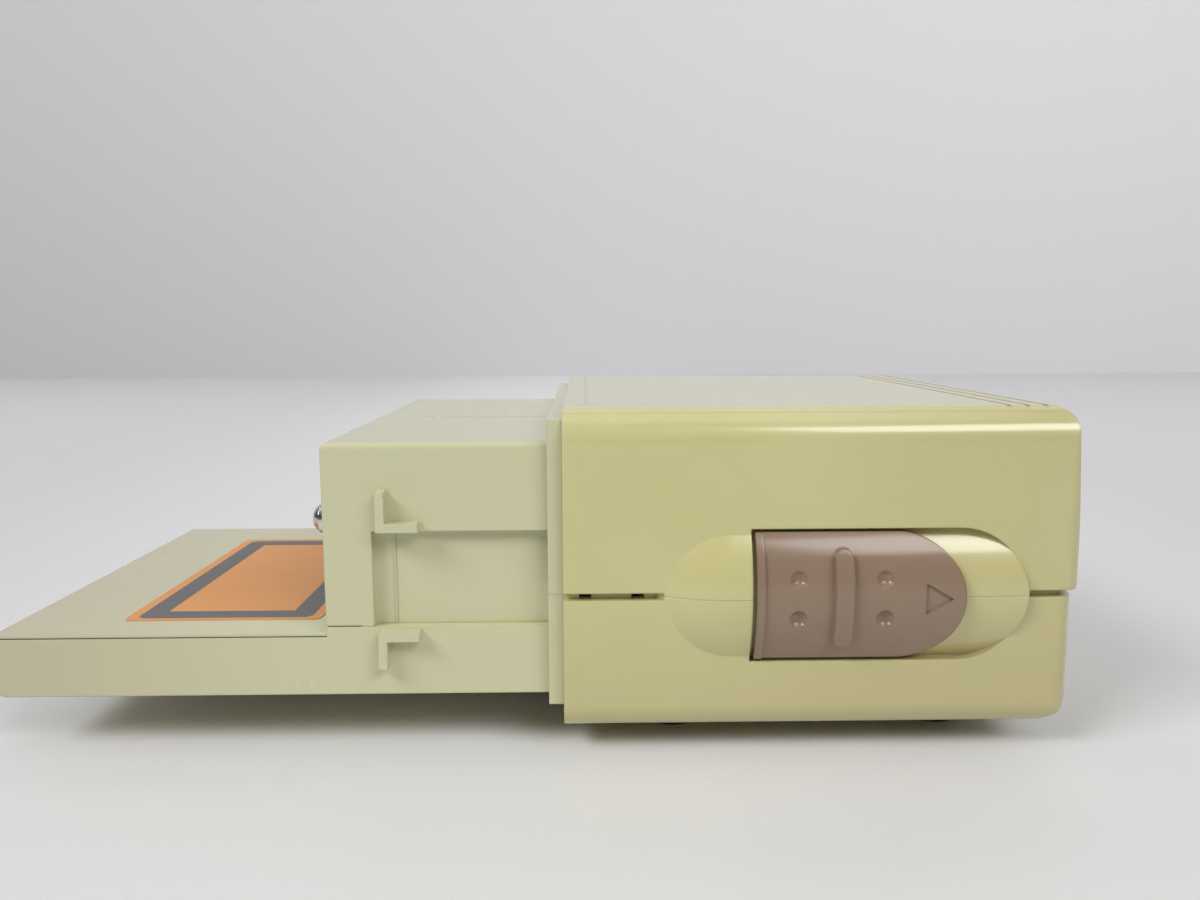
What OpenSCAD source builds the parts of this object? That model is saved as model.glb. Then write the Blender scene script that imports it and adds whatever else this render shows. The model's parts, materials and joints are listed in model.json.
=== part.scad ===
// Plug-in laser unit of a portable optical instrument.
// X runs from the tongue to the outer end, Y from the near side to the far side, Z is up.
// The origin is below the middle of the unit, on the surface that its feet stand on.

/* [Outer housing] */
// Length of the outer housing along X
housing_len = 68.5; // [66:0.5:70]
// Width of the outer housing along Y
housing_w = 80; // [79:0.5:84]
// Height of the outer housing
housing_h = 43; // [42:0.5:45]
// Wall thickness of the outer shells
wall = 2.2; // [2:0.1:2.4]
// Height of the parting line above the underside of the housing
split_h = 18.4; // [18:0.1:19]
// Rounding of the upper long edges
edge_r = 4.5; // [3.5:0.25:5]
// Rounding of the lower long edges
base_r = 3.5; // [3:0.25:4]
// Rounding of the top edge of the outer end
end_r = 2.5; // [2.5:0.25:3.5]
// Rounding of the bottom edge of the outer end
end_base_r = 6; // [5:0.25:6.5]
// How far the outer end leans in from the parting line to the top
end_draft = 1.8; // [1.4:0.1:2]
// Rounding of the upright edges of the outer end
corner_r = 2.6; // [2.4:0.1:3]
// Height of the rubber feet
foot_h = 3.4; // [3:0.1:4]

/* [Inner module] */
// Length of the raised block
block_len = 29.7; // [29:0.1:31]
// Length of the flat tongue
tongue_len = 44.6; // [42:0.1:46]
// Width of the block
block_w = 74; // [73:0.5:75]
// Width of the tongue, which shares the near face of the block
tongue_w = 68; // [66:0.5:70]
// Thickness of the flange between block and housing
flange_t = 2; // [1.8:0.1:2.2]
// Wall thickness of the module's mouldings
module_wall = 2; // [1.8:0.1:2.2]

/* [Latches] */
// Travel of each latch slider towards the outer end
latch_travel = 7.5; // [6:0.5:7.5]
// Height of the slider across the latch
slider_h = 16.9; // [16.5:0.1:17.2]
// Length of the slider from its straight edge to its round tip
slider_len = 27.1; // [26.5:0.1:27.5]
// How far the middle of the slider stands proud of the housing
slider_rise = 2.4; // [2.2:0.1:2.6]

/* [Label] */
// Width of the label along X
label_w = 27.5; // [24:0.5:28]
// Length of the label along Y
label_l = 51; // [44:0.5:52]

/* [Hidden] */
$fn = 64;
eps = 0.01;

// Stations along X
total_len = tongue_len + block_len + flange_t + housing_len;
x_tongue = -total_len / 2;
x_block = x_tongue + tongue_len;
x_flange = x_block + block_len;
x_house = x_flange + flange_t;
x_out = x_house + housing_len;

// Levels
z_house = foot_h;
z_split = z_house + split_h;
z_top = z_house + housing_h;
z_tray = z_house + 4.4;
z_floor = z_tray + module_wall;
z_rim = z_tray + 7.95;
z_plate = z_rim + 0.5;
z_shelf = z_tray + 9.35;
z_block = z_tray + 34.1;

// Faces across Y
y_house = housing_w / 2;
y_block = block_w / 2;
y_tongue_far = tongue_w - y_block;

// Latch: pad, pocket, slider and what lies behind them
x_pocket = x_house + 24.5;
pocket_len = 36.2;
pocket_h = 17.8;
pad_len = 10.8;
pad_h = 16.3;
pad_rise = 2.2;
pad_ball_r = (pow(pad_h / 2, 2) + pow(pad_rise, 2)) / (2 * pad_rise);
slider_gap = 0.5;
slider_t = 0.95;
floor_gap = 0.2;
face_sag = 2.5;
face_r = (pow(slider_h / 2, 2) + pow(face_sag, 2)) / (2 * face_sag);
floor_r = face_r - slider_t - floor_gap;
face_axis = face_r - slider_rise;
pocket_cut = 1.9;
backing_t = 1.5;
post_x = x_pocket + 10;
post_len = 5;
post_h = 6;
carrier_t = 2.4;
carrier_h = 12;
carrier_depth = wall + backing_t + 0.2;
carrier_x0 = x_house + 3.5;
carrier_x1 = x_house + 48;
guide_gap = 0.2;
guide_t = 1.2;
guide_x0 = x_house + 6;
guide_x1 = x_house + 63.3;
stop_t = 1.5;
spring_r = 2.1;
spring_wire = 0.45;
spring_turns = 7;
spring_x1 = guide_x1 - stop_t;

// Reveal slot round the parting line
reveal_depth = 1.2;
reveal_up = 0.45;
reveal_down = 0.5;
reveal_gap = 0.5;

// The lower shell ends a little short of the upper one
lower_step = 0.9;

// Recess in the block's side that receives a catch of the host
recess_len = 23.3;
recess_h = 12.95;
recess_depth = 1.5;
recess_wall = 1.6;
rib_t = 1.2;
rib_leg = 5.5;
rib_out = 1.9;
rib_shift = 0.9;
window_y0 = 35.5;
window_y1 = 37.4;
window_z0 = z_split + 0.9;
window_h = 6;

// Fine gap between the mouldings of the module
seam = 0.15;

// Boards and optics
board_t = 1.6;
z_main_board = z_floor + 2;
z_tab = z_main_board - board_t - 0.4;
z_laser_board = z_house + 10.8;
z_bench = z_laser_board + board_t + 1.6;
bench_t = 3;
z_axis = z_house + 28.4;
laser_x = x_house + 19;
lens_x = x_house + 28;
splitter_x = x_house + 42;
splitter_s = 8;
port_w = 24;
port_h = 13.2;
port_depth = 11.5;
port_wall = 1.6;
port_back = x_out - port_depth;
cover_pin_x = x_out - 2.6;
cover_pin_z = z_axis + port_h / 2 - 1.6;
cover_pin_r = 0.5;
knuckle_r = 1.3;

// Fastener places
corner_posts = [for (x = [x_house + 6.5, x_out - 6.5], y = [-27, 27]) [x, y]];
board_posts = [for (x = [x_house + 14, x_out - 14], y = [-26, 26]) [x, y]];
tab_posts = [for (y = [-15, 15]) [x_house + 9, y]];
cover_posts = [
    [x_tongue + 5.5, -y_block + 5.5], [x_tongue + 5.5, y_tongue_far - 5.5],
    [x_flange - 4, -y_block + 10.5], [x_flange - 4, y_block - 10.5]
];
foot_places = [for (x = [x_house + 6.5, x_out - 9], y = [-26, 26]) [x, y]];
bench_feet = [for (x = [laser_x + 2, laser_x + 30], y = [-12, 12]) [x, y]];
end_screw_y = y_block - 3.5;
end_screw_z = z_tray + 23.5;
guide_holes = [x_house + 12, x_house + 41];

housing_colour = [0.80, 0.78, 0.58];
module_colour = [0.78, 0.78, 0.66];
latch_colour = [0.61, 0.50, 0.43];

// ---------------------------------------------------------------- shared shapes

// Rounded section with its own radius at the top and at the bottom, standing on y = 0
module edge_profile(w, h, rt, rb) {
    translate([-w / 2, rb]) square([w, h - rb - rt]);
    translate([-w / 2 + rt, h / 2]) square([w - 2 * rt, h / 2]);
    translate([-w / 2 + rb, 0]) square([w - 2 * rb, h / 2]);
    for (s = [-1, 1]) {
        translate([s * (w / 2 - rt), h - rt]) circle(rt);
        translate([s * (w / 2 - rb), rb]) circle(rb);
    }
}

// Strip of length l and height h whose two right corners are rounded
module end_profile(l, h, r) {
    square([l - r, h]);
    translate([l - 2 * r, r]) square([2 * r, h - 2 * r]);
    for (y = [r, h - r]) translate([l - r, y]) circle(r);
}

// Side view of the housing: rounded corners at the outer end, which leans in by k per mm above level ys
module side_profile(l, h, rt, rb, ys, k) {
    n = sqrt(1 + k * k);
    cy = h - rt;
    cx = l - k * (cy - ys) - rt * n;
    polygon([[0, 0], [l - rb, 0], [l - rb, rb], [l, rb], [l, ys], [cx + rt / n, cy + rt * k / n],
             [cx, cy], [cx, h], [0, h]]);
    translate([l - rb, rb]) circle(rb);
    translate([cx, cy]) circle(rt);
}

// Box given by two opposite corners
module block(a, b) {
    translate(a) cube(b - a);
}

// Same shape on the near side and, mirrored, on the far side
module both_sides() {
    children();
    mirror([0, 1, 0]) children();
}

// Pan-head screw: the head stands on z = 0, the shank points down
module pan_screw(r, len, head_r, head_h) {
    slot_w = head_r * 0.32;
    difference() {
        union() {
            cylinder(r = head_r, h = head_h);
            translate([0, 0, -len]) cylinder(r = r, h = len + eps);
        }
        for (a = [0, 90]) rotate(a)
            translate([-head_r * 0.6, -slot_w / 2, head_h * 0.45]) cube([head_r * 1.2, slot_w, head_h]);
    }
}

// Tube standing on z = 0
module tube(r_out, r_in, h) {
    difference() {
        cylinder(r = r_out, h = h);
        translate([0, 0, -eps]) cylinder(r = r_in, h = h + 2 * eps);
    }
}

// ---------------------------------------------------------------- outer housing

// Solid form of the housing. With an inset it is smaller on every side but runs out past the flange side;
// step shortens it at the outer end
module housing_form(inset, step) {
    x0 = inset > 0 ? x_house - 1 : x_house;
    w = housing_w - 2 * inset;
    h = housing_h - 2 * inset;
    l = x_out - step - inset - x0;
    intersection() {
        translate([x0, 0, z_house + inset]) rotate([90, 0, 90])
            linear_extrude(l) edge_profile(w, h, edge_r - inset, base_r - inset);
        translate([x0, w / 2, z_house + inset]) rotate([90, 0, 0])
            linear_extrude(w) side_profile(l, h, end_r - inset, end_base_r - inset, split_h - inset,
                                           end_draft / (housing_h - split_h));
        translate([x0, -w / 2, z_house]) linear_extrude(housing_h)
            end_profile(l, w, corner_r - inset);
    }
}

// Outline of a latch in the X-Z plane: straight left edge at 0, round right end at l
module latch_outline(l, h) {
    translate([0, -h / 2]) square([l - h / 2, h]);
    translate([l - h / 2, 0]) circle(h / 2);
}

// Prism of a latch outline on the near side, from depth d0 to depth d1 behind the housing's face
module latch_prism(x, l, h, d0, d1) {
    translate([x, -y_house + d1, z_split]) rotate([90, 0, 0]) linear_extrude(d1 - d0) latch_outline(l, h);
}

// Cylinder along X that is concentric with the slider's face
module latch_arc(r) {
    translate([x_pocket - 1, -y_house + face_axis, z_split]) rotate([0, 90, 0])
        cylinder(r = r, h = pocket_len + 2, $fn = 160);
}

// Raised convex pad in front of the pocket
module latch_pad() {
    x_ball = x_pocket - pad_len + pad_h / 2;
    y_ball = -y_house + pad_ball_r - pad_rise;
    intersection() {
        translate([x_ball, y_ball, z_split]) rotate([0, 90, 0]) rotate_extrude($fn = 160)
            pad_section(x_pocket - x_ball);
        block([x_ball - 12, -y_house - 5, z_split - 12], [x_pocket, -y_house + 1, z_split + 12]);
    }
}

// Half section of the pad about its long axis: quarter circle, then straight for length l
module pad_section(l) {
    intersection() {
        union() {
            circle(pad_ball_r, $fn = 160);
            square([pad_ball_r, l]);
        }
        translate([0, -pad_ball_r]) square([pad_ball_r, pad_ball_r + l]);
    }
}

// Convex floor of the pocket, with the thicker wall behind it
module latch_floor() {
    intersection() {
        latch_prism(x_pocket, pocket_len, pocket_h, -3, pocket_cut);
        latch_arc(floor_r);
    }
    difference() {
        block([x_pocket - 1.5, -y_house + wall - 0.3, z_split - 10.5],
              [x_pocket + pocket_len + 1, -y_house + wall + backing_t, z_split + 10.5]);
        block([carrier_x1 - 1, -y_house + wall, z_split - 3.2],
              [x_out, -y_house + wall + 3, z_split + 3.2]);
    }
}

// Slot through the pocket's floor for the slider's post
module post_slot() {
    block([post_x - 0.3, -y_house - 3, z_split - post_h / 2 - 0.25],
          [post_x + post_len + latch_travel + 0.3, -y_house + 6, z_split + post_h / 2 + 0.25]);
}

// Thin slot that runs round the parting line and stops at the latches
module reveal_slot(step) {
    difference() {
        block([x_house - eps, -y_house - 1, z_split - reveal_down],
              [x_out + 1, y_house + 1, z_split + reveal_up]);
        housing_form(reveal_depth, step);
        both_sides() block([x_pocket - pad_len - reveal_gap, -y_house - 2, z_split - 2],
                           [x_pocket + pocket_len + 0.2, -y_house + 3, z_split + 2]);
    }
    both_sides() for (x = [x_house + 2.1, x_house + 9])
        block([x, -y_house - 1, z_split - reveal_down], [x + 1.6, -y_house + 3, z_split + reveal_up]);
}

// Box for the fibre port, sunk into the outer end
module port_box(grow, x0) {
    block([x0, -port_w / 2 - grow, z_axis - port_h / 2 - grow], [x_out, port_w / 2 + grow, z_axis + port_h / 2 + grow]);
}

// Whole housing before it is cut in two at the parting line
module housing_whole(step) {
    difference() {
        union() {
            difference() {
                housing_form(0, step);
                housing_form(wall, step);
                both_sides() latch_prism(x_pocket, pocket_len, pocket_h, -3, pocket_cut);
                reveal_slot(step);
            }
            both_sides() {
                latch_pad();
                latch_floor();
            }
            intersection() {
                housing_form(1, step);
                port_box(port_wall, port_back - port_wall);
            }
        }
        both_sides() post_slot();
        port_box(0, port_back);
        top_grooves();
    }
}

// Three grooves near the outer end and a fine line near the flange, across the top
module top_grooves() {
    for (i = [0:2])
        block([x_house + 58.6 + 2.45 * i, -y_house + edge_r - 1.2, z_top - 0.4],
              [x_house + 59.2 + 2.45 * i, y_house - edge_r + 1.2, z_top + 1]);
    block([x_house + 3, -y_house + edge_r, z_top - 0.15], [x_house + 3.3, y_house - edge_r, z_top + 1]);
}

module upper_housing() {
    color(housing_colour) difference() {
        union() {
            intersection() {
                housing_whole(0);
                block([x_house - 1, -y_house - 5, z_split], [x_out + 1, y_house + 5, z_top + 1]);
            }
            for (p = corner_posts) translate([p[0], p[1], z_split]) cylinder(r = 3, h = z_top - wall - z_split + eps);
            // ledges that stop the port cover when it is shut
            for (s = [-1, 1]) block([cover_pin_x - 1.4, s * 10 - 1.4, z_axis - port_h / 2 - eps],
                                    [cover_pin_x - 0.25, s * 10 + 1.4, z_axis - port_h / 2 + 0.9]);
        }
        for (p = corner_posts) translate([p[0], p[1], z_split - 1]) cylinder(r = 1.3, h = 13);
        // finger dish below the port cover
        translate([x_out + 3, 0, z_axis - port_h / 2]) sphere(4);
        // adaptor: barrel hole and two screw holes in the back of the port
        translate([port_back - port_wall - 1, 0, z_axis]) rotate([0, 90, 0]) cylinder(r = 3.7, h = 4);
        for (s = [-1, 1]) translate([port_back - port_wall - 1, s * 7.5, z_axis]) rotate([0, 90, 0])
            cylinder(r = 1.05, h = 4);
        // hinge pin holes in the cheeks of the port
        translate([cover_pin_x, -port_w / 2 - 1.3, cover_pin_z]) rotate([-90, 0, 0])
            cylinder(r = cover_pin_r, h = port_w + 2.6);
    }
}

module lower_housing() {
    color(housing_colour) difference() {
        union() {
            intersection() {
                housing_whole(lower_step);
                block([x_house - 1, -y_house - 5, 0], [x_out, y_house + 5, z_split]);
            }
            for (p = corner_posts) post_on_floor(p, 3, z_split);
            for (p = board_posts) post_on_floor(p, 2.6, z_laser_board);
            for (p = tab_posts) post_on_floor(p, 2.8, z_tab);
        }
        for (p = corner_posts) translate([p[0], p[1], 0]) {
            cylinder(r = 1.4, h = z_split + 1);
            cylinder(r = 2.9, h = z_house + 6);
        }
        for (p = board_posts) translate([p[0], p[1], z_laser_board - 6]) cylinder(r = 1.05, h = 7);
        for (p = tab_posts) translate([p[0], p[1], z_house + 1.2]) cylinder(r = 1.05, h = 6);
        for (p = foot_places) translate([p[0] + foot_shift(p), p[1], z_house - 1]) cylinder(r = 4.1, h = 1.6);
    }
}

// Flange plate on the open side of the housing, from level z0 to z1: one opening for the module's neck
// and, on each side, a window through which the locking nose looks into the block's recess
module flange_plate(z0, z1) {
    difference() {
        block([x_flange, -y_house + 1.5, z0], [x_house, y_house - 1.5, z1]);
        block([x_flange - 1, -29, z_floor - 0.2], [x_house + 1, 29, z_block - 3.5]);
        both_sides()
            block([x_flange - 1, -window_y1, window_z0], [x_house + 1, -window_y0, window_z0 + window_h]);
    }
}

module flange_upper() {
    color(module_colour) flange_plate(z_split, z_top - 1.5);
}

module flange_lower() {
    color(module_colour) flange_plate(z_house + 3.3, z_split);
}

// The inner feet stand clear of the screw wells
function foot_shift(p) = p[0] < x_house + 20 ? 9 : -6;

// Post from the floor of the lower shell up to level z
module post_on_floor(p, r, z) {
    translate([p[0], p[1], z_house + wall - eps]) cylinder(r = r, h = z - z_house - wall + eps);
}

// ---------------------------------------------------------------- inner module

// Plan of the tray: tongue and the wider part under the block, drawn inset from their edges
module tray_plan(inset, x1) {
    translate([x_tongue + inset, -y_block + inset]) square([x1 - x_tongue - inset, tongue_w - 2 * inset]);
    translate([x_block + inset, -y_block + inset]) square([x1 - x_block - inset, block_w - 2 * inset]);
}

// Side view of the tray, with a rounded lower corner at the tip of the tongue
module tray_side() {
    r = 1.6;
    translate([x_tongue + r, z_tray]) square([x_flange - x_tongue - r, z_rim - z_tray]);
    translate([x_tongue, z_tray + r]) square([2 * r, z_rim - z_tray - r]);
    translate([x_tongue + r, z_tray + r]) circle(r);
    translate([x_block, z_tray]) square([x_flange - x_block, z_shelf - z_tray]);
}

module module_tray() {
    tab_y = 21;
    color(module_colour) difference() {
        union() {
            difference() {
                intersection() {
                    translate([0, y_block, 0]) rotate([90, 0, 0]) linear_extrude(block_w) tray_side();
                    translate([0, 0, z_tray]) linear_extrude(z_shelf - z_tray) tray_plan(0, x_flange);
                }
                translate([0, 0, z_floor]) linear_extrude(z_shelf) tray_plan(module_wall, x_flange + 1);
            }
            block([x_flange - 8, -tab_y, z_floor - eps], [x_house + 14, tab_y, z_tab + 2]);
            for (p = cover_posts) translate([p[0], p[1], z_floor - eps]) cylinder(r = 2.8, h = 2 + eps);
            for (x = [x_tongue + 20, x_block + 8], y = [-y_block + 8, y_tongue_far - 8])
                translate([x, y, z_floor - eps]) cylinder(r = 2, h = 2 + eps);
            both_sides() {
                lower_guide_rib();
                block([x_flange - recess_len - recess_wall, -y_block + 0.5, z_shelf - 2],
                      [x_flange, -y_block + recess_depth + recess_wall, z_shelf]);
            }
        }
        block([x_flange - 8.1, -tab_y - 1, z_floor - 1], [x_flange - 8, tab_y + 1, z_tab + 3]);
        block([x_flange, -tab_y - 1, z_floor - 1], [x_house + 20, tab_y + 1, z_tab]);
        for (p = cover_posts) translate([p[0], p[1], z_tray - 1]) {
            cylinder(r = 1.1, h = 8);
            cylinder(r = 2.1, h = 2.2);
        }
        for (p = tab_posts) translate([p[0], p[1], z_tab - 1]) cylinder(r = 1.2, h = 5);
    }
}

// L-shaped guide rib on the tray, below the recess
module lower_guide_rib() {
    x = x_flange - recess_len + rib_shift - 0.1;
    z = z_shelf - 0.4;
    block([x, -y_block - rib_out, z - rib_t], [x + rib_leg, -y_block + eps, z]);
    block([x, -y_block - rib_out, z - rib_leg + 0.5], [x + rib_t, -y_block + eps, z]);
}

// Mirrored L-shaped guide rib on the block, above the recess; its upright leg has a slightly sloping top
module upper_guide_rib() {
    x = x_flange - recess_len + rib_shift;
    z = z_shelf + recess_h + 0.15;
    block([x, -y_block - rib_out, z], [x + rib_leg, -y_block + eps, z + rib_t]);
    translate([x, 0, 0]) rotate([90, 0, 90]) linear_extrude(rib_t)
        polygon([[-y_block - rib_out, z], [-y_block + eps, z], [-y_block + eps, z + rib_leg],
                 [-y_block - rib_out, z + rib_leg - 0.2]]);
}

// Solid of the raised block, with softened upper edges
module block_form() {
    r = 1;
    intersection() {
        translate([x_block, 0, z_shelf + seam]) rotate([90, 0, 90]) linear_extrude(block_len)
            edge_profile(block_w, z_block - z_shelf - seam, r, 0.01);
        translate([x_flange, y_block, z_shelf + seam]) rotate([90, 0, 0]) mirror([1, 0, 0])
            linear_extrude(block_w) upper_end_profile(block_len, z_block - z_shelf - seam, 0.8);
    }
}

// Strip whose upper right corner is rounded
module upper_end_profile(l, h, r) {
    square([l, h - r]);
    square([l - r, h]);
    translate([l - r, h - r]) circle(r);
}

module module_cover() {
    x_rec = x_flange - recess_len;
    z_rec = z_shelf + recess_h;
    color(module_colour) difference() {
        union() {
            difference() {
                block_form();
                // inside of the block
                block([x_block + module_wall, -y_block + module_wall, z_shelf - 1],
                      [x_flange + 1, y_block - module_wall, z_block - module_wall]);
            }
            // plate over the tongue, with a plug that drops between the tray's walls
            block([x_tongue, -y_block, z_rim + seam], [x_block, y_tongue_far, z_plate]);
            block([x_tongue + 2.2, -y_block + 2.2, z_rim - 1.2], [x_block + 2, y_tongue_far - 2.2, z_rim + seam + eps]);
            block([x_block - eps, -y_block + 2.2, z_rim], [x_block + 2, y_tongue_far - 2.2, z_shelf + eps]);
            both_sides() recess_lining(x_rec, z_rec);
            both_sides() upper_guide_rib();
            for (p = cover_posts) cover_post(p);
        }
        both_sides() difference() {
            block([x_rec, -y_block - 1, z_shelf - 1], [x_flange + 1, -y_block + recess_depth, z_rec]);
            // raised line down the recess's floor
            block([x_rec + 2.6, -y_block + recess_depth - 0.15, z_shelf], [x_rec + 2.9, -y_block + 3, z_rec + 1]);
        }
        block([x_block + 2.2, -y_block + 10, z_shelf - 5], [x_flange + 1, y_block - 10, z_shelf]);
        // fine line across the middle of the top
        block([x_block + 5, -1.6, z_block - 0.4], [x_flange + 1, -1.2, z_block + 1]);
        // window for the host connector
        block([x_block - 1, -20.3, z_tray + 12.7], [x_block + 3, 20.3, z_tray + 22.3]);
        for (s = [-1, 1]) translate([x_block - 1, s * end_screw_y, end_screw_z]) rotate([0, 90, 0])
            cylinder(r = 1.3, h = 4);
        for (p = cover_posts) translate([p[0], p[1], z_floor]) cylinder(r = 1, h = cover_post_top(p) - z_floor - 1);
    }
}

// Walls round the recess, inside the block
module recess_lining(x_rec, z_rec) {
    block([x_rec - recess_wall, -y_block + eps, z_shelf],
          [x_flange, -y_block + recess_depth + recess_wall, z_rec + recess_wall]);
}

// Posts of the cover come down on the tray's posts: short ones under the plate, long ones in the block
function cover_post_top(p) = p[0] < x_block ? z_rim : z_shelf + 8;
module cover_post(p) {
    z0 = z_floor + 2;
    translate([p[0], p[1], z0]) cylinder(r = 2.6, h = cover_post_top(p) - z0);
    if (p[0] > x_block) {
        s = p[1] < 0 ? -1 : 1;
        translate([p[0] - 2, s * (y_block - 6) - 4, z_shelf]) cube([4, 8, 8]);
    }
}

module safety_label() {
    color([0.85, 0.55, 0.28])
        translate([x_block - 16.3, -y_block + tongue_w / 2 - 2.1, z_plate]) linear_extrude(0.12)
            label_outline();
}

module label_outline() {
    r = 1;
    square([label_w - 2 * r, label_l], center = true);
    square([label_w, label_l - 2 * r], center = true);
    for (x = [-1, 1], y = [-1, 1]) translate([x * (label_w / 2 - r), y * (label_l / 2 - r)]) circle(r);
}

// Domed screws in the end of the block; they pass into the bracket behind it
module end_screws() {
    head_r = 2;
    head_h = 2.1;
    dome_r = 2.3;
    color([0.75, 0.75, 0.77]) for (s = [-1, 1])
        translate([x_block, s * end_screw_y, end_screw_z]) rotate([0, -90, 0]) {
            difference() {
                intersection() {
                    cylinder(r = head_r, h = head_h);
                    translate([0, 0, head_h - dome_r]) sphere(dome_r);
                }
                for (a = [45, 135]) rotate(a)
                    translate([-1.1, -0.25, head_h - 0.8]) cube([2.2, 0.5, 2]);
            }
            translate([0, 0, -4]) cylinder(r = 1.22, h = 4 + eps);
        }
}

// ---------------------------------------------------------------- latches

module latch_slider() {
    x0 = x_pocket + slider_gap;
    ridge_x = x0 + 11.2;
    ridge_half = 5.4;
    ridge_r = 1.2;
    color(latch_colour) difference() {
        union() {
            intersection() {
                latch_prism(x0, slider_len, slider_h, -4, 2);
                difference() {
                    latch_arc(face_r);
                    latch_arc(face_r - slider_t);
                }
            }
            // raised lip along the straight edge
            intersection() {
                block([x0, -y_house - 5, z_split - slider_h / 2], [x0 + 1.1, -y_house + 2, z_split + slider_h / 2]);
                difference() {
                    latch_arc(face_r + 0.3);
                    latch_arc(face_r - slider_t);
                }
            }
            // thumb ridge, which follows the face
            intersection() {
                translate([ridge_x, -y_house + 2, z_split]) rotate([90, 0, 0]) linear_extrude(8) {
                    square([2 * ridge_r, 2 * ridge_half], center = true);
                    for (s = [-1, 1]) translate([0, s * ridge_half]) circle(ridge_r);
                }
                difference() {
                    latch_arc(face_r + 0.8);
                    latch_arc(face_r - slider_t / 2);
                }
            }
            // post through the pocket's floor
            difference() {
                block([post_x, -y_house - slider_rise + 0.4, z_split - post_h / 2],
                      [post_x + post_len, -y_house + carrier_depth + 0.8, z_split + post_h / 2]);
                translate([0, -2 * face_r + 0.4, 0]) latch_arc(face_r);
            }
        }
        for (x = [x0 + 5.4, x0 + 16.6], s = [-1, 1])
            translate([x, -y_house - slider_rise - 0.4, z_split + 0.1 + 2.72 * s]) sphere(1.3);
        difference() {
            translate([0, -y_house, z_split]) rotate([90, 0, 0]) linear_extrude(6)
                polygon([[x0 + 21.9, 2.05], [x0 + 21.9, -2.05], [x0 + 25.4, 0]]);
            latch_arc(face_r - 0.35);
        }
        translate([post_x + post_len / 2, -y_house + carrier_depth + 1, z_split]) rotate([90, 0, 0])
            cylinder(r = 0.95, h = 4.5);
    }
}

// Slide plate behind the wall: ramped locking nose at the flange end, spring spigot at the other
module latch_carrier() {
    y0 = -y_house + carrier_depth;
    y1 = y0 + carrier_t;
    z0 = z_split - carrier_h / 2;
    color([0.86, 0.85, 0.80]) difference() {
        union() {
            translate([0, 0, z0]) linear_extrude(carrier_h)
                polygon([[carrier_x0, y0], [carrier_x1, y0], [carrier_x1, y1], [carrier_x0 + 4, y1],
                         [carrier_x0, y1 - 1.6]]);
            translate([carrier_x1 - eps, y0 + carrier_t / 2, z_split]) rotate([0, 90, 0]) cylinder(r = 1, h = 3);
        }
        block([post_x - 0.05, y0 - 1, z_split - post_h / 2 - 0.05],
              [post_x + post_len + 0.05, y0 + 0.8, z_split + post_h / 2 + 0.05]);
        translate([post_x + post_len / 2, y0 - 1, z_split]) rotate([-90, 0, 0]) cylinder(r = 1.1, h = 5);
        translate([post_x + post_len / 2, y1 - 0.9, z_split]) rotate([-90, 0, 0]) cylinder(r = 2.05, h = 2);
    }
}

module latch_screw() {
    color([0.7, 0.7, 0.72])
        translate([post_x + post_len / 2, -y_house + carrier_depth + carrier_t - 0.9, z_split])
            rotate([-90, 0, 0]) pan_screw(0.9, 5, 1.9, 0.85);
}

// Channel that holds the carrier against the wall and takes the spring's thrust
module latch_guide() {
    yw = -y_house + wall + backing_t;
    y1 = -y_house + carrier_depth + carrier_t + guide_gap;
    color([0.30, 0.31, 0.33]) difference() {
        block([guide_x0, yw, z_split - 9.5], [guide_x1, y1 + guide_t, z_split + 9.5]);
        block([guide_x0 - 1, yw - 1, z_split - carrier_h / 2 - 0.2], [spring_x1, y1, z_split + carrier_h / 2 + 0.2]);
        block([carrier_x1 - 1, y1 - 1, z_split - 3.2], [spring_x1, y1 + 3, z_split + 3.2]);
        block([post_x - 1, y1 - 1, z_split - 2.5], [post_x + post_len + latch_travel, y1 + 3, z_split + 2.5]);
        for (x = guide_holes, s = [-1, 1]) translate([x, y1 + guide_t + 1, z_split + 8 * s]) rotate([90, 0, 0])
            cylinder(r = 0.85, h = 12);
        block([guide_x0 - 1, yw - 1, z_split - 10], [x_pocket - 1.3, yw + 0.4, z_split + 10]);
    }
}

// Compression spring as a swept wire; its end coils rest on the carrier and on the guide's stop
function spring_point(a, r) = [
    carrier_x1 + spring_wire / 2 + (spring_x1 - carrier_x1 - spring_wire) * a,
    -y_house + carrier_depth + carrier_t / 2 + r * cos(360 * spring_turns * a),
    z_split + r * sin(360 * spring_turns * a)
];
module latch_spring() {
    steps = spring_turns * 12;
    sides = 6;
    ring = [for (i = [0:steps], j = [0:sides - 1])
        let (a = i / steps, t = 360 * j / sides, p = spring_point(a, spring_r + spring_wire / 2 * cos(t)))
            p + [spring_wire / 2 * sin(t), 0, 0]];
    walls = [for (i = [0:steps - 1], j = [0:sides - 1])
        let (k = (j + 1) % sides) [i * sides + j, i * sides + k, (i + 1) * sides + k, (i + 1) * sides + j]];
    first = [for (j = [0:sides - 1]) sides - 1 - j];
    last = [for (j = [0:sides - 1]) steps * sides + j];
    color([0.6, 0.6, 0.62]) polyhedron(points = ring, faces = concat(walls, [first, last]));
}

module latch_slider_front() { latch_slider(); }
module latch_slider_rear() { mirror([0, 1, 0]) latch_slider(); }
module latch_carrier_front() { latch_carrier(); }
module latch_carrier_rear() { mirror([0, 1, 0]) latch_carrier(); }
module latch_screw_front() { latch_screw(); }
module latch_screw_rear() { mirror([0, 1, 0]) latch_screw(); }
module latch_spring_front() { latch_spring(); }
module latch_spring_rear() { mirror([0, 1, 0]) latch_spring(); }
module latch_guide_front() { latch_guide(); }
module latch_guide_rear() { mirror([0, 1, 0]) latch_guide(); }

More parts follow.
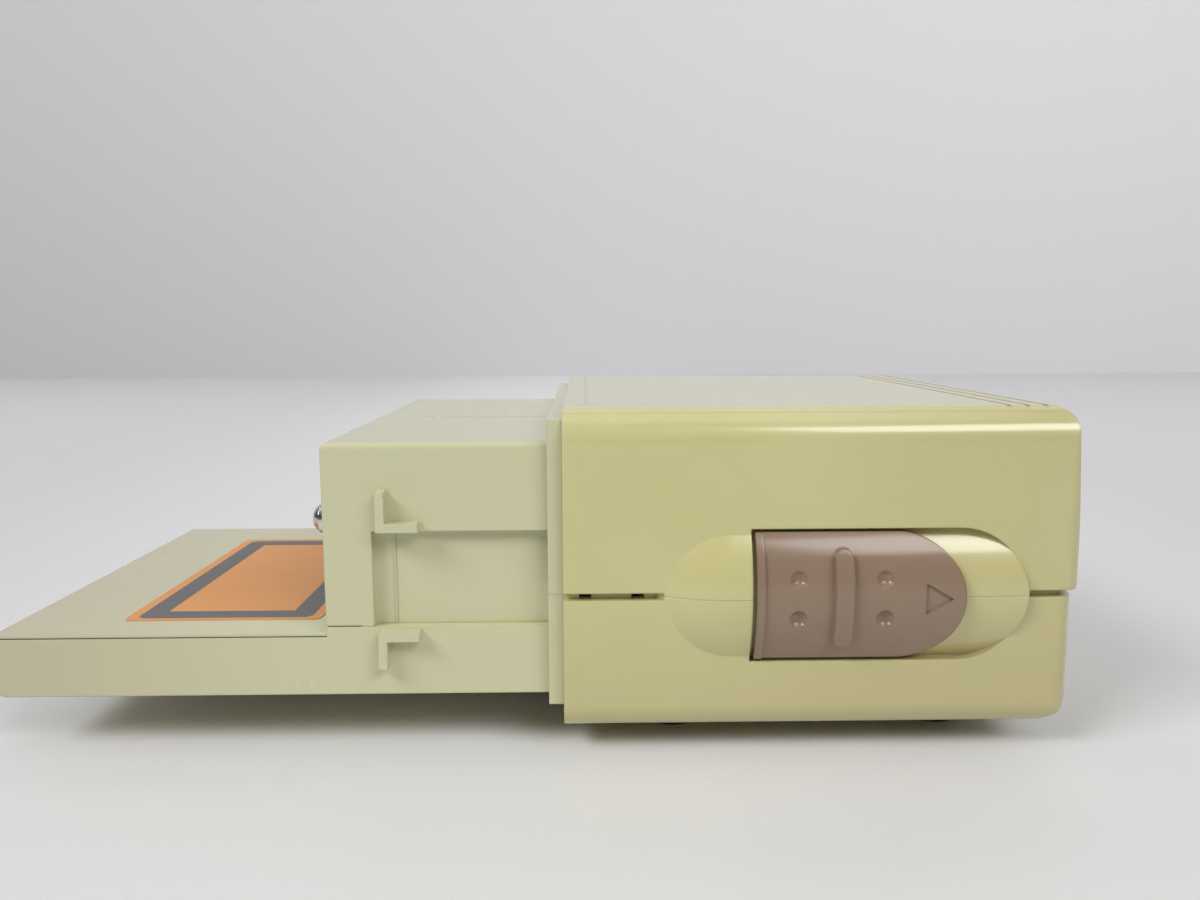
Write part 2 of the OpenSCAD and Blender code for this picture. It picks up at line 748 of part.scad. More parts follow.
module guide_screws() {
    y1 = -y_house + carrier_depth + carrier_t + guide_gap + guide_t;
    color([0.7, 0.7, 0.72]) both_sides() for (x = guide_holes, s = [-1, 1])
        translate([x, y1, z_split + 8 * s]) rotate([-90, 0, 0]) pan_screw(0.8, x < x_pocket ? 2 : 4, 1.4, 0.8);
}

// ---------------------------------------------------------------- connector end

module connector_bracket() {
    color([0.72, 0.73, 0.75]) difference() {
        block([x_block + module_wall, -y_block + 2.2, z_tray + 10.5],
              [x_block + module_wall + 1, y_block - 2.2, z_tray + 28]);
        block([x_block, -20.3, z_tray + 12.7], [x_block + 5, 20.3, z_tray + 22.3]);
        for (s = [-1, 1]) translate([x_block, s * end_screw_y, end_screw_z]) rotate([0, 90, 0])
            cylinder(r = 1.25, h = 6);
    }
}

module host_connector() {
    x0 = x_block - 0.8;
    color([0.16, 0.16, 0.17]) difference() {
        block([x0, -20, z_tray + 13], [x_block + 8, 20, z_tray + 22]);
        block([x0 - 1, -18.4, z_tray + 14.6], [x0 + 7, 18.4, z_tray + 20.4]);
        for (i = [0:15], z = [16.5, 18.5]) translate([x0 + 5, -16.5 + 2.2 * i, z_tray + z]) rotate([0, 90, 0])
            cylinder(r = 0.36, h = 6);
    }
}

module connector_contacts() {
    color([0.82, 0.66, 0.30]) for (i = [0:15], z = [16.5, 18.5])
        translate([x_block + 1, -16.5 + 2.2 * i, z_tray + z]) rotate([0, 90, 0]) cylinder(r = 0.34, h = 9.6);
}

module connector_board() {
    x0 = x_block + 8;
    color([0.10, 0.35, 0.20]) difference() {
        block([x0, -28, z_main_board + board_t], [x0 + board_t, 28, z_block - 4]);
        for (i = [0:15], z = [16.5, 18.5]) translate([x0 - 1, -16.5 + 2.2 * i, z_tray + z]) rotate([0, 90, 0])
            cylinder(r = 0.4, h = 4);
    }
}

// ---------------------------------------------------------------- boards

module main_board() {
    color([0.10, 0.35, 0.20]) difference() {
        block([x_tongue + 3, -y_block + 3, z_main_board], [x_flange - 1, y_tongue_far - 3, z_main_board + board_t]);
        for (p = cover_posts) translate([p[0], p[1], z_main_board - 1]) cylinder(r = 3.6, h = 5);
        both_sides() block([x_flange - 8, -y_block, z_main_board - 1], [x_flange, -y_block + 15, z_main_board + 3]);
    }
}

module main_board_parts() {
    z = z_main_board + board_t;
    color([0.13, 0.13, 0.14]) {
        for (i = [0:2], j = [0:1])
            block([x_tongue + 8 + 11 * i, -22 + 24 * j, z], [x_tongue + 16 + 11 * i, -8 + 24 * j, z + 0.9]);
        block([x_block + 12, -12, z], [x_block + 22, 8, z + 2.2]);
        for (y = [-17, 13]) translate([x_block + 15, y, z]) cylinder(r = 2.2, h = 2.4);
    }
}

module receiver_shield() {
    z = z_main_board + board_t;
    color([0.75, 0.76, 0.78]) difference() {
        block([x_block + 11, -20, z], [x_block + 23.5, 16, z + 4]);
        block([x_block + 11.4, -19.6, z - 1], [x_block + 23.1, 15.6, z + 3.6]);
    }
}

// Flat ribbon from the main board over the flange opening to the laser board
module ribbon_cable() {
    t = 0.3;
    xa = x_flange - 5;
    xb = x_house + 16;
    za = z_main_board + board_t;
    zb = z_laser_board + board_t;
    zt = z_laser_board + 6;
    color([0.85, 0.84, 0.78]) translate([0, 9, 0]) rotate([90, 0, 0]) linear_extrude(18)
        polygon([[xa, za], [xa + t, za], [xa + t, zt - t], [xb - t, zt - t], [xb - t, zb], [xb, zb],
                 [xb, zt], [xa, zt]]);
}

module laser_board() {
    color([0.10, 0.35, 0.20]) difference() {
        block([x_house + 11, -30, z_laser_board], [x_out - 10, 30, z_laser_board + board_t]);
        for (p = board_posts) translate([p[0], p[1], z_laser_board - 1]) cylinder(r = 1.15, h = 4);
    }
}

module laser_board_parts() {
    z = z_laser_board + board_t;
    color([0.13, 0.13, 0.14]) {
        for (s = [-1, 1]) {
            block([x_house + 20, s * 22.5 - 3, z], [x_house + 29, s * 22.5 + 3, z + 1.6]);
            translate([x_house + 35, s * 22, z]) cylinder(r = 3, h = 6);
            block([x_house + 41, s * 22 - 3, z], [x_house + 47, s * 22 + 3, z + 3]);
        }
    }
}

module board_screws() {
    color([0.7, 0.7, 0.72]) for (p = board_posts)
        translate([p[0], p[1], z_laser_board + board_t]) pan_screw(1, 6, 2, 1.3);
}

module tray_screws() {
    color([0.7, 0.7, 0.72]) for (p = tab_posts) translate([p[0], p[1], z_tab + 2]) pan_screw(1, 6, 2, 0.6);
}

module cover_screws() {
    color([0.7, 0.7, 0.72]) for (p = cover_posts)
        translate([p[0], p[1], z_tray + 1.2]) rotate([180, 0, 0]) pan_screw(0.95, 4.6, 1.9, 1.1);
}

module housing_screws() {
    color([0.35, 0.35, 0.37]) for (p = corner_posts)
        translate([p[0], p[1], z_house + 6]) rotate([180, 0, 0]) pan_screw(1.25, 22, 2.5, 1.8);
}

module rubber_feet() {
    color([0.25, 0.24, 0.23]) for (p = foot_places) translate([p[0] + foot_shift(p), p[1], 0]) {
        cylinder(r = 4, h = foot_h + 0.6);
    }
}

// ---------------------------------------------------------------- optics

// Aluminium bench: base on four feet, two bored uprights, splitter pedestal and detector upright
module optics_bench() {
    z0 = z_bench;
    z1 = z_bench + bench_t;
    zu = z_axis + 6;
    color([0.78, 0.79, 0.81]) difference() {
        union() {
            block([laser_x - 1, -15, z0], [laser_x + 33, 15, z1]);
            for (p = bench_feet) translate([p[0], p[1], z0 - 1.6]) cylinder(r = 2.4, h = 1.6 + eps);
            block([laser_x, -7, z1 - eps], [laser_x + 6, 7, zu]);
            block([lens_x, -7, z1 - eps], [lens_x + 6, 7, zu]);
            block([splitter_x - 4, -4, z1 - eps], [splitter_x + 4, 4, z_axis - splitter_s / 2]);
            block([splitter_x - 4.5, 8, z1 - eps], [splitter_x + 4.5, 12, zu]);
        }
        translate([laser_x - 1, 0, z_axis]) rotate([0, 90, 0]) cylinder(r = 2.85, h = 8);
        translate([lens_x - 1, 0, z_axis]) rotate([0, 90, 0]) cylinder(r = 4, h = 8);
        translate([splitter_x, 7, z_axis]) rotate([-90, 0, 0]) cylinder(r = 2.4, h = 6);
        for (p = bench_feet) translate([p[0], p[1], z0 - 2]) cylinder(r = 1.1, h = 10);
        for (s = [-1, 1]) translate([laser_x - 1, s * 5, z_axis + 3.5]) rotate([0, 90, 0]) cylinder(r = 0.8, h = 5);
    }
}

module bench_screws() {
    color([0.7, 0.7, 0.72]) for (p = bench_feet)
        translate([p[0], p[1], z_bench + bench_t]) pan_screw(1, 4.5, 2, 1.3);
}

// Metal-can laser diode: header, cap with a window, three leads
module laser_diode() {
    color([0.80, 0.72, 0.45]) translate([laser_x, 0, z_axis]) rotate([0, 90, 0]) {
        cylinder(r = 2.8, h = 1.2);
        tube(1.78, 0.8, 3.5);
        for (a = [90, 210, 330]) rotate(a) translate([1.1, 0, -4.5]) cylinder(r = 0.22, h = 4.6, $fn = 16);
    }
}

module laser_clamp() {
    color([0.55, 0.56, 0.58]) difference() {
        block([laser_x - 1.5, -7, z_axis - 5], [laser_x, 7, z_axis + 5]);
        translate([laser_x - 2, 0, z_axis]) rotate([0, 90, 0]) cylinder(r = 2, h = 3);
        for (s = [-1, 1]) translate([laser_x - 2, s * 5, z_axis + 3.5]) rotate([0, 90, 0]) cylinder(r = 0.9, h = 3);
    }
}

module lens_barrel() {
    color([0.78, 0.62, 0.32]) translate([lens_x - 1.5, 0, z_axis]) rotate([0, 90, 0]) {
        tube(3.97, 3, 9);
        translate([0, 0, 3]) tube(3.2, 2.4, 1);
    }
}

// Biconvex lens seated on the shoulder of the barrel
module collimator_lens() {
    r = 7;
    color([0.75, 0.85, 0.9]) translate([lens_x + 2.5, 0, z_axis]) rotate([0, 90, 0]) intersection() {
        cylinder(r = 2.97, h = 2.6);
        translate([0, 0, r]) sphere(r);
        translate([0, 0, 2.6 - r]) sphere(r);
    }
}

module beam_splitter() {
    s = splitter_s;
    color([0.75, 0.85, 0.9]) difference() {
        translate([splitter_x - s / 2, -s / 2, z_axis - s / 2]) cube(s);
        translate([splitter_x, 0, z_axis - s]) rotate(45) translate([-s, -0.05, 0]) cube([2 * s, 0.1, s * 1.45]);
    }
}

module photodiode() {
    color([0.78, 0.76, 0.70]) translate([splitter_x, 12, z_axis]) rotate([90, 0, 0]) {
        translate([0, 0, -0.8]) cylinder(r = 2.7, h = 0.8);
        tube(2.32, 1, 3.6);
        for (a = [0, 120, 240]) rotate(a) translate([1.2, 0, -4]) cylinder(r = 0.22, h = 3.3, $fn = 16);
    }
}

// ---------------------------------------------------------------- fibre port

// Panel adaptor: flange in the port, threaded nose towards the outer end, plain tail inwards
module optical_adaptor() {
    color([0.80, 0.81, 0.83]) difference() {
        translate([port_back, 0, z_axis]) rotate([0, 90, 0]) {
            translate([-5.5, -9.5, 0]) cube([11, 19, 1.2]);
            cylinder(r = 4, h = 8);
            translate([0, 0, -7]) cylinder(r = 3.6, h = 7);
            for (z = [2:1:7]) translate([0, 0, z]) cylinder(r = 4.2, h = 0.5);
        }
        translate([port_back - 8, 0, z_axis]) rotate([0, 90, 0]) cylinder(r = 1.65, h = 20);
        translate([port_back + 2, -0.9, z_axis + 2.5]) cube([8, 1.8, 3]);
        for (s = [-1, 1]) translate([port_back - 1, s * 7.5, z_axis]) rotate([0, 90, 0]) cylinder(r = 1.15, h = 4);
    }
}

module ferrule_sleeve() {
    color([0.93, 0.93, 0.90]) translate([port_back - 6, 0, z_axis]) rotate([0, 90, 0]) tube(1.63, 1.25, 12);
}

module adaptor_screws() {
    color([0.7, 0.7, 0.72]) for (s = [-1, 1])
        translate([port_back + 1.2, s * 7.5, z_axis]) rotate([0, 90, 0]) pan_screw(1, 2.7, 1.7, 1.1);
}

// Dust cover: flat flap with a hinge knuckle along its upper edge and a pull lip at the lower one
module port_cover() {
    w = port_w - 0.5;
    z0 = z_axis - port_h / 2 + 0.25;
    xf = cover_pin_x + knuckle_r;
    color(housing_colour) difference() {
        union() {
            block([xf - 1.5, -w / 2, z0], [xf, w / 2, cover_pin_z]);
            translate([cover_pin_x, -w / 2, cover_pin_z]) rotate([-90, 0, 0]) cylinder(r = knuckle_r, h = w);
            block([xf - eps, -4, z0], [xf + 0.3, 4, z0 + 1.2]);
        }
        translate([cover_pin_x, -w / 2 - 1, cover_pin_z]) rotate([-90, 0, 0])
            cylinder(r = cover_pin_r + 0.05, h = w + 2);
    }
}

module port_cover_pin() {
    color([0.7, 0.7, 0.72]) translate([cover_pin_x, -port_w / 2 - 1.3, cover_pin_z]) rotate([-90, 0, 0])
        cylinder(r = cover_pin_r, h = port_w + 2.6);
}

// ---------------------------------------------------------------- assembly

upper_housing();
lower_housing();
flange_upper();
flange_lower();
module_cover();
module_tray();
safety_label();
latch_slider_front();
latch_slider_rear();
latch_carrier_front();
latch_carrier_rear();
latch_screw_front();
latch_screw_rear();
latch_spring_front();
latch_spring_rear();
latch_guide_front();
latch_guide_rear();
guide_screws();
host_connector();
connector_contacts();
connector_board();
connector_bracket();
end_screws();
main_board();
main_board_parts();
receiver_shield();
ribbon_cable();
cover_screws();
tray_screws();
laser_board();
laser_board_parts();
board_screws();
optics_bench();
bench_screws();
laser_diode();
laser_clamp();
lens_barrel();
collimator_lens();
beam_splitter();
photodiode();
optical_adaptor();
ferrule_sleeve();
adaptor_screws();
port_cover();
port_cover_pin();
housing_screws();
rubber_feet();
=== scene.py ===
"""Looks of the plug-in laser unit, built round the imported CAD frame. Lengths are in metres."""
import json
import math

import bpy
import bmesh
from mathutils import Matrix, Vector


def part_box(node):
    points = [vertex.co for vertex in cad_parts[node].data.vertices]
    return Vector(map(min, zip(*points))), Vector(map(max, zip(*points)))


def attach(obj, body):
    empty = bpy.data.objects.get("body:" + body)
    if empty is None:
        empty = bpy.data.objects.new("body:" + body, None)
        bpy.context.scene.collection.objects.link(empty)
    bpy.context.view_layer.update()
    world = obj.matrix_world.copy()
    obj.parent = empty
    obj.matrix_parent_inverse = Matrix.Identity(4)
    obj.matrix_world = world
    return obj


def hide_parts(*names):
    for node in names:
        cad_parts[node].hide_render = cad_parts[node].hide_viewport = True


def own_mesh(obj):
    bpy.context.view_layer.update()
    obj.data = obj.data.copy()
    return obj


MM = 0.001
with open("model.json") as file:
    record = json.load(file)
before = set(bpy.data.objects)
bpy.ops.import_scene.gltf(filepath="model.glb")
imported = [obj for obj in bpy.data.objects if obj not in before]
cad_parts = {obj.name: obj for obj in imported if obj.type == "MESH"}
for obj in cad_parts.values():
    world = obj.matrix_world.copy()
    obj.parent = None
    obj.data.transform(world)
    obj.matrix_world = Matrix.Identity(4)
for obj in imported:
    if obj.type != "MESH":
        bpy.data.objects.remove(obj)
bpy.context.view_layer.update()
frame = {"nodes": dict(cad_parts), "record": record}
NODES = frame["nodes"]
ROOT = "unit"

# ---------------------------------------------------------------- node helpers


class Nodes:
    """A material's node tree with short ways to add and join nodes."""

    def __init__(self, name):
        self.material = bpy.data.materials.new(name)
        self.material.use_nodes = True
        self.tree = self.material.node_tree
        self.shader = self.tree.nodes["Principled BSDF"]

    def add(self, kind, inputs=None, **settings):
        node = self.tree.nodes.new(kind)
        for key, value in settings.items():
            setattr(node, key, value)
        for key, value in (inputs or {}).items():
            self.put(node.inputs[key], value)
        return node

    def put(self, socket, value):
        if isinstance(value, bpy.types.NodeSocket):
            self.tree.links.new(value, socket)
        else:
            socket.default_value = value

    def math(self, operation, a, b=0.0, clamp=False):
        node = self.add("ShaderNodeMath", {0: a, 1: b}, operation=operation)
        node.use_clamp = clamp
        return node.outputs[0]

    def mix(self, factor, a, b):
        node = self.add("ShaderNodeMix", data_type="RGBA")
        self.put(node.inputs[0], factor)
        self.put(node.inputs[6], rgba(a))
        self.put(node.inputs[7], rgba(b))
        return node.outputs[2]

    def noise(self, scale, detail=3.0, rough=0.55):
        node = self.add("ShaderNodeTexNoise", {"Scale": scale, "Detail": detail, "Roughness": rough})
        self.put(node.inputs["Vector"], self.place())
        return node.outputs["Fac"]

    def place(self):
        return self.add("ShaderNodeTexCoord").outputs["Object"]

    def axes(self):
        return self.add("ShaderNodeSeparateXYZ", {0: self.place()}).outputs

    def band(self, value, low, high):
        """0 below low, 1 above high, smooth between."""
        node = self.add("ShaderNodeMapRange", {"Value": value, "From Min": low, "From Max": high},
                        interpolation_type="SMOOTHSTEP")
        return node.outputs["Result"]

    def rough(self, base, noise, spread):
        """Roughness that rises from base by up to spread with the noise."""
        uneven = self.math("MULTIPLY", noise, spread)
        self.put(self.shader.inputs["Roughness"], self.math("ADD", base, uneven))

    def bump(self, height, strength, distance, rounding):
        """Fine relief over edges that look rounded."""
        bevel = self.add("ShaderNodeBevel", {"Radius": rounding}, samples=6)
        relief = self.add("ShaderNodeBump", {"Height": height, "Strength": strength, "Distance": distance,
                                             "Normal": bevel.outputs[0]})
        self.put(self.shader.inputs["Normal"], relief.outputs[0])


def rgba(value):
    return value if isinstance(value, bpy.types.NodeSocket) or len(value) == 4 else (*value, 1.0)


def srgb(r, g, b):
    """Linear colour from 0..255 display values."""
    out = []
    for v in (r, g, b):
        v /= 255.0
        out.append(v / 12.92 if v <= 0.04045 else ((v + 0.055) / 1.055) ** 2.4)
    return tuple(out)


def scaled(colour, factor):
    return tuple(c * factor for c in colour)


# ---------------------------------------------------------------- materials

PALE = (0.640, 0.630, 0.395)
YELLOW = (0.670, 0.640, 0.315)
YELLOW_DEEP = (0.620, 0.575, 0.260)
BROWNER_YELLOW = (0.540, 0.480, 0.235)
BROWNER_PALE = (0.530, 0.480, 0.320)
GRIME = srgb(140, 128, 84)
YELLOW_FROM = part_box("lower_housing")[0][0] - 0.1 * MM
FADE = 0.15 * MM
FINE_GRAIN = 2600.0


def aged_plastic(name):
    """Moulded ABS: pale where the host covered it, yellowed by light from the housing's edge outwards;
    darker towards the bottom, which is painted shade.
    """
    n = Nodes(name)
    x, _, z = n.axes()
    wide = n.noise(28.0, 4.0)
    spots = n.noise(90.0, 5.0, 0.7)
    pale = n.mix(n.band(wide, 0.35, 0.7), PALE, scaled(PALE, 0.94))
    yellow = n.mix(n.band(wide, 0.3, 0.75), YELLOW, YELLOW_DEEP)
    exposed = n.band(x, YELLOW_FROM, YELLOW_FROM + FADE)
    colour = n.mix(exposed, pale, yellow)
    # Browner towards the outer end, where the plastic has aged; darker and browner towards the bottom,
    # which is painted shade of the lower shell.
    outer = n.math("MULTIPLY", n.band(x, 20 * MM, 75 * MM), 0.5)
    painted_low_shade = n.math("MULTIPLY", n.math("SUBTRACT", 1.0, n.band(z, 3 * MM, 26 * MM)), 0.7)
    browner = n.math("MULTIPLY", n.math("ADD", outer, painted_low_shade, clamp=True), exposed)
    colour = n.mix(browner, colour, BROWNER_YELLOW)
    dirt = n.math("MULTIPLY", n.band(spots, 0.62, 0.8), 0.10)
    n.put(n.shader.inputs["Base Color"], n.mix(dirt, colour, GRIME))
    n.rough(0.19, spots, 0.10)
    n.shader.inputs["Coat Weight"].default_value = 0.7
    n.shader.inputs["Coat Roughness"].default_value = 0.12
    n.bump(n.noise(FINE_GRAIN, 2.0, 0.5), 0.10, 0.02 * MM, 0.28 * MM)
    return n.material


def module_plastic(name):
    """Paler ABS of the inner module, a little browner towards the end of the tongue."""
    n = Nodes(name)
    x = n.axes()[0]
    pale = n.mix(n.noise(18.0, 2.0), scaled(PALE, 0.97), scaled(PALE, 1.03))
    tip = n.math("SUBTRACT", 1.0, n.band(x, -76 * MM, -24 * MM))
    n.put(n.shader.inputs["Base Color"], n.mix(n.math("MULTIPLY", tip, 0.75), pale, BROWNER_PALE))
    n.rough(0.24, n.noise(120.0, 4.0), 0.05)
    n.shader.inputs["Coat Weight"].default_value = 0.4
    n.shader.inputs["Coat Roughness"].default_value = 0.15
    n.bump(n.noise(FINE_GRAIN, 2.0), 0.1, 0.012 * MM, 0.28 * MM)
    return n.material


def plastic(name, colour, rough, vary=0.05, grain=FINE_GRAIN, grain_depth=0.03 * MM, rounding=0.25 * MM):
    """Moulded plastic of one colour with a soft mottle."""
    n = Nodes(name)
    soft = n.noise(120.0, 4.0)
    shade = n.mix(n.band(soft, 0.35, 0.7), scaled(colour, 1 - vary), scaled(colour, 1 + vary))
    n.put(n.shader.inputs["Base Color"], shade)
    n.rough(rough, soft, 0.08)
    n.bump(n.noise(grain, 2.0), 0.2, grain_depth, rounding)
    return n.material


def metal(name, colour, rough, vary=0.08, scale=900.0, rounding=0.12 * MM):
    """Plated or bare metal with a fine uneven finish."""
    n = Nodes(name)
    soft = n.noise(scale, 3.0)
    n.put(n.shader.inputs["Base Color"], n.mix(soft, scaled(colour, 1 - vary), scaled(colour, 1 + vary)))
    n.rough(rough, soft, 0.12)
    n.shader.inputs["Metallic"].default_value = 1.0
    n.bump(soft, 0.15, 0.02 * MM, rounding)
    return n.material


ORANGE = (0.71, 0.312, 0.092)
ORANGE_LIGHT = (0.75, 0.340, 0.110)
BAND_DARK = (0.135, 0.130, 0.135)
MARGIN_WEST, MARGIN_EAST = 1.5 * MM, 1.4 * MM
MARGIN_NEAR, MARGIN_FAR = 0.75 * MM, 1.6 * MM
BAND_WIDTH = 3.3 * MM
CUT_CORNER = 0.9 * MM
PRINT_EDGE = 0.05 * MM


def label_film():
    """Orange film with a dark band inside its edge; the centre has no lettering."""
    n = Nodes("label_film")
    x, y, _ = n.axes()
    low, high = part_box("safety_label")
    # distances inwards from the dark band's outer edge; the orange margins differ from side to side
    west = n.math("SUBTRACT", n.math("SUBTRACT", x, low[0]), MARGIN_WEST)
    east = n.math("SUBTRACT", n.math("SUBTRACT", high[0], x), MARGIN_EAST)
    near = n.math("SUBTRACT", n.math("SUBTRACT", y, low[1]), MARGIN_NEAR)
    far = n.math("SUBTRACT", n.math("SUBTRACT", high[1], y), MARGIN_FAR)
    along, across = n.math("MINIMUM", west, east), n.math("MINIMUM", near, far)
    corner = n.math("SUBTRACT", n.math("ADD", along, across), CUT_CORNER)
    edge = n.math("MINIMUM", along, across)
    outer = n.band(n.math("MINIMUM", edge, corner), -PRINT_EDGE, PRINT_EDGE)
    centre = n.band(edge, BAND_WIDTH - PRINT_EDGE, BAND_WIDTH + PRINT_EDGE)
    dark = n.math("MULTIPLY", outer, n.math("SUBTRACT", 1.0, centre))
    orange = n.mix(n.noise(160.0), ORANGE, ORANGE_LIGHT)
    n.put(n.shader.inputs["Base Color"], n.mix(dark, orange, BAND_DARK))
    n.rough(0.42, n.noise(300.0), 0.1)
    n.shader.inputs["Specular IOR Level"].default_value = 0.4
    return n.material


def glass(name):
    n = Nodes(name)
    n.put(n.shader.inputs["Base Color"], n.mix(n.noise(300.0), (0.93, 0.97, 1.0), (0.96, 0.98, 1.0)))
    n.shader.inputs["Roughness"].default_value = 0.03
    n.shader.inputs["Transmission Weight"].default_value = 0.9
    n.shader.inputs["IOR"].default_value = 1.52
    return n.material


MATERIALS = {
    "housing_plastic": aged_plastic("housing_plastic"),
    "module_plastic": module_plastic("module_plastic"),
    "latch_plastic": plastic("latch_plastic", (0.300, 0.207, 0.142), 0.12, vary=0.02, grain=900.0,
                             grain_depth=0.004 * MM, rounding=0.4 * MM),
    "label_film": label_film(),
    "carrier_plastic": plastic("carrier_plastic", (0.80, 0.79, 0.74), 0.4),
    "guide_plastic": plastic("guide_plastic", (0.05, 0.05, 0.055), 0.45),
    "connector_plastic": plastic("connector_plastic", (0.03, 0.03, 0.035), 0.5),
    "contact_gold": metal("contact_gold", (0.78, 0.58, 0.24), 0.22),
    "screw_chrome": metal("screw_chrome", (0.72, 0.71, 0.70), 0.12),
    "screw_steel": metal("screw_steel", (0.50, 0.50, 0.52), 0.3),
    "spring_steel": metal("spring_steel", (0.42, 0.42, 0.44), 0.25),
    "sheet_steel": metal("sheet_steel", (0.62, 0.63, 0.65), 0.32),
    "board_green": plastic("board_green", (0.03, 0.16, 0.08), 0.3),
    "component_black": plastic("component_black", (0.03, 0.03, 0.03), 0.5),
    "ribbon_grey": plastic("ribbon_grey", (0.70, 0.68, 0.60), 0.5),
    "bench_aluminium": metal("bench_aluminium", (0.62, 0.63, 0.65), 0.35),
    "gold_can": metal("gold_can", (0.72, 0.58, 0.30), 0.25),
    "barrel_brass": metal("barrel_brass", (0.62, 0.46, 0.20), 0.28),
    "lens_glass": glass("lens_glass"),
    "adaptor_nickel": metal("adaptor_nickel", (0.66, 0.66, 0.64), 0.22),
    "ceramic_white": plastic("ceramic_white", (0.85, 0.85, 0.82), 0.25),
    "rubber_dark": plastic("rubber_dark", (0.06, 0.055, 0.05), 0.7),
}

SLOT_OF = {row["node"]: row["material_slot"] for row in frame["record"]["subparts"]}
for node_name, obj in NODES.items():
    obj.data.materials.clear()
    obj.data.materials.append(MATERIALS[SLOT_OF[node_name]])

# ---------------------------------------------------------------- latch springs

SPRING_TURNS = 7
SPRING_STEPS = 24
WIRE_R = 0.21 * MM
WIRE_SIDES = 8
COIL_CLEARANCE = 0.03 * MM


def wire_points(centre, coil_r, length):
    """Rings of points round a helix that runs along X from the centre."""
    last = SPRING_TURNS * SPRING_STEPS
    points = []
    for i in range(last + 1):
        turn = 2 * math.pi * i / SPRING_STEPS
        along = WIRE_R + length * i / last
        for j in range(WIRE_SIDES):
            side = 2 * math.pi * j / WIRE_SIDES
            reach = coil_r + WIRE_R * math.cos(side)
            x = along + WIRE_R * math.sin(side)
            points.append(centre + Vector((x, reach * math.cos(turn), reach * math.sin(turn))))
    return points


def closed_tube(name, points):
    """Mesh through the rings of points, with both ends closed and its faces outwards."""
    rings = len(points) // WIRE_SIDES
    faces = []
    for i in range(rings - 1):
        for j in range(WIRE_SIDES):
            a = i * WIRE_SIDES + j
            b = i * WIRE_SIDES + (j + 1) % WIRE_SIDES
            faces.append((a, b, b + WIRE_SIDES, a + WIRE_SIDES))
    faces.append(tuple(reversed(range(WIRE_SIDES))))
    faces.append(tuple(range((rings - 1) * WIRE_SIDES, rings * WIRE_SIDES)))
    mesh = bpy.data.meshes.new(name)
    mesh.from_pydata(points, [], faces)
    form = bmesh.new()
    form.from_mesh(mesh)
    bmesh.ops.recalc_face_normals(form, faces=form.faces)
    form.to_mesh(mesh)
    form.free()
    for face in mesh.polygons:
        face.use_smooth = True
    return mesh


def coil_spring(side):
    """Wound spring at its rest length, standing for the CAD coil; the real one closes up as its latch
    slides.
    """
    node = "latch_spring_" + side
    low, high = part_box(node)
    rest_length = high[0] - low[0]
    centre = Vector((low[0], (low[1] + high[1]) / 2, (low[2] + high[2]) / 2))
    coil_r = (high[2] - low[2]) / 2 - WIRE_R - COIL_CLEARANCE
    mesh = closed_tube(node + "_wire", wire_points(centre, coil_r, rest_length - 2 * WIRE_R))
    mesh.materials.append(MATERIALS["spring_steel"])
    obj = bpy.data.objects.new(node + "_wire", mesh)
    bpy.context.scene.collection.objects.link(obj)
    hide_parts(node)
    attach(obj, ROOT)
    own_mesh(obj)


coil_spring("front")
coil_spring("rear")

# ---------------------------------------------------------------- stage

FLOOR_SIDE = 4.0
FLOOR_FRONT = -2.0
FLOOR_END = 0.905
BACKDROP_TOP = 3.0
MARK_GREY = srgb(120, 118, 116)


def plane(name, corners, material):
    mesh = bpy.data.meshes.new(name)
    mesh.from_pydata(corners, [], [range(len(corners))])
    obj = bpy.data.objects.new(name, mesh)
    bpy.context.scene.collection.objects.link(obj)
    mesh.materials.append(material)


def stage_material(name, colour, rough, dark_side, bright_side, reach, two_sided):
    """Plain paper with painted shade, which runs from one side to the other or from the middle to both
    sides.
    """
    n = Nodes(name)
    x = n.axes()[0]
    across = n.band(n.math("ABSOLUTE", x), 0.02, reach) if two_sided else n.band(x, -reach, reach)
    shade = n.mix(across, scaled(colour, dark_side), scaled(colour, bright_side))
    marks = n.math("MULTIPLY", n.band(n.noise(70.0, 6.0, 0.75), 0.66, 0.78), 0.10)
    n.put(n.shader.inputs["Base Color"], n.mix(marks, shade, MARK_GREY))
    n.shader.inputs["Roughness"].default_value = rough
    n.shader.inputs["Specular IOR Level"].default_value = 0.25
    return n.material


# Painted shade: the floor darkens towards both sides and the backdrop towards the left.
floor_white = stage_material("floor_white", (0.80, 0.795, 0.80), 0.35,
                             dark_side=1.0, bright_side=0.84, reach=0.22, two_sided=True)
backdrop_grey = stage_material("backdrop_grey", srgb(216, 216, 218), 0.8,
                               dark_side=0.76, bright_side=1.12, reach=0.9, two_sided=False)
plane("floor", [(-FLOOR_SIDE, FLOOR_FRONT, 0), (FLOOR_SIDE, FLOOR_FRONT, 0),
                (FLOOR_SIDE, FLOOR_END, 0), (-FLOOR_SIDE, FLOOR_END, 0)], floor_white)
plane("backdrop", [(-FLOOR_SIDE, FLOOR_END, 0), (FLOOR_SIDE, FLOOR_END, 0),
                   (FLOOR_SIDE, FLOOR_END, BACKDROP_TOP), (-FLOOR_SIDE, FLOOR_END, BACKDROP_TOP)],
      backdrop_grey)

# ---------------------------------------------------------------- light

SOFT_BOX_DISTANCE = 2.2
ROOM_COLOUR = (0.96, 0.97, 1.0, 1.0)
ROOM_STRENGTH = 0.07


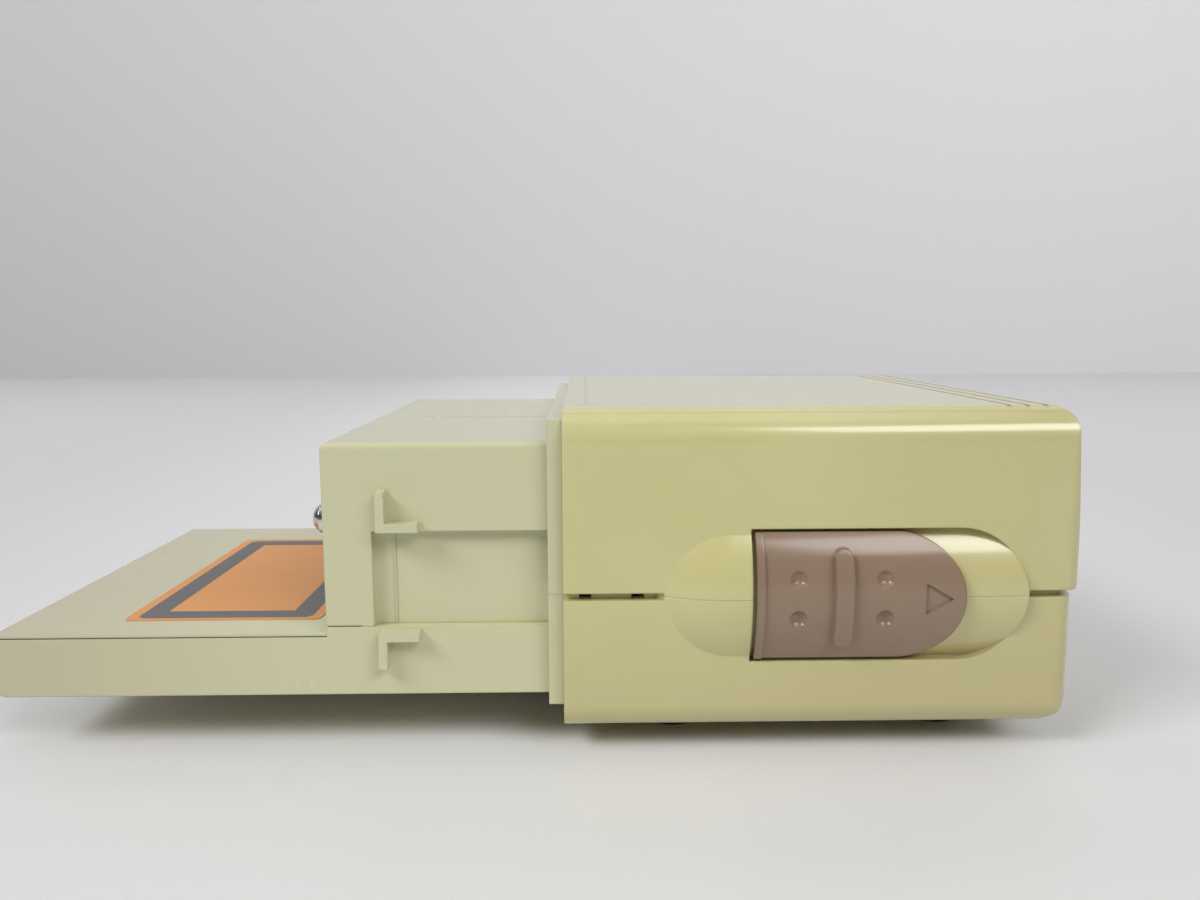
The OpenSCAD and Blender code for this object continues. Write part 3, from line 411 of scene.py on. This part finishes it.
def area_light(name, place, target, size, power):
    data = bpy.data.lights.new(name, "AREA")
    data.shape = "RECTANGLE"
    data.size, data.size_y = size
    data.energy = power
    obj = bpy.data.objects.new(name, data)
    obj.location = place
    obj.rotation_euler = (Vector(target) - Vector(place)).to_track_quat("-Z", "Y").to_euler()
    bpy.context.scene.collection.objects.link(obj)


def front_light(name, azimuth, elevation, size, power):
    """Soft box aimed at the unit; azimuth 0 is straight in front, positive to the right."""
    az, el = math.radians(azimuth), math.radians(elevation)
    level = SOFT_BOX_DISTANCE * math.cos(el)
    place = (level * math.sin(az), -level * math.cos(az), SOFT_BOX_DISTANCE * math.sin(el))
    area_light(name, place, (0.0, 0.0, 0.02), size, power)


front_light("left_light", -54, 41, (1.00, 0.68), 24.6)
front_light("right_light", 39, 38, (1.45, 0.64), 20.2)
area_light("top_light", (0.0, -0.15, 1.60), (0.0, 0.0, 0.0), (1.6, 1.1), 4.2)
area_light("back_light", (0.0, 0.35, 0.62), (0.0, 0.90, 0.06), (2.4, 0.4), 2.2)

world = bpy.data.worlds.new("room")
world.use_nodes = True
room = world.node_tree.nodes["Background"]
room.inputs["Color"].default_value = ROOM_COLOUR
room.inputs["Strength"].default_value = ROOM_STRENGTH
bpy.context.scene.world = world
bpy.context.scene.view_settings.view_transform = "Standard"

# ---------------------------------------------------------------- camera

CAMERA_PLACE = (6.9 * MM, -163.4 * MM, 57.3 * MM)
CAMERA_TURN = math.radians(-0.883)
CAMERA_TILT = math.radians(90 - 7.44)
CAMERA_ROLL = -0.004

camera_data = bpy.data.cameras.new("camera")
camera_data.sensor_width = 36.0
camera_data.lens = 29.19
camera_data.clip_start = 0.005
camera = bpy.data.objects.new("camera", camera_data)
aim = (Matrix.Rotation(CAMERA_TURN, 4, "Z") @ Matrix.Rotation(CAMERA_TILT, 4, "X")
       @ Matrix.Rotation(CAMERA_ROLL, 4, "Z"))
camera.matrix_world = Matrix.Translation(CAMERA_PLACE) @ aim
bpy.context.scene.collection.objects.link(camera)
bpy.context.scene.camera = camera
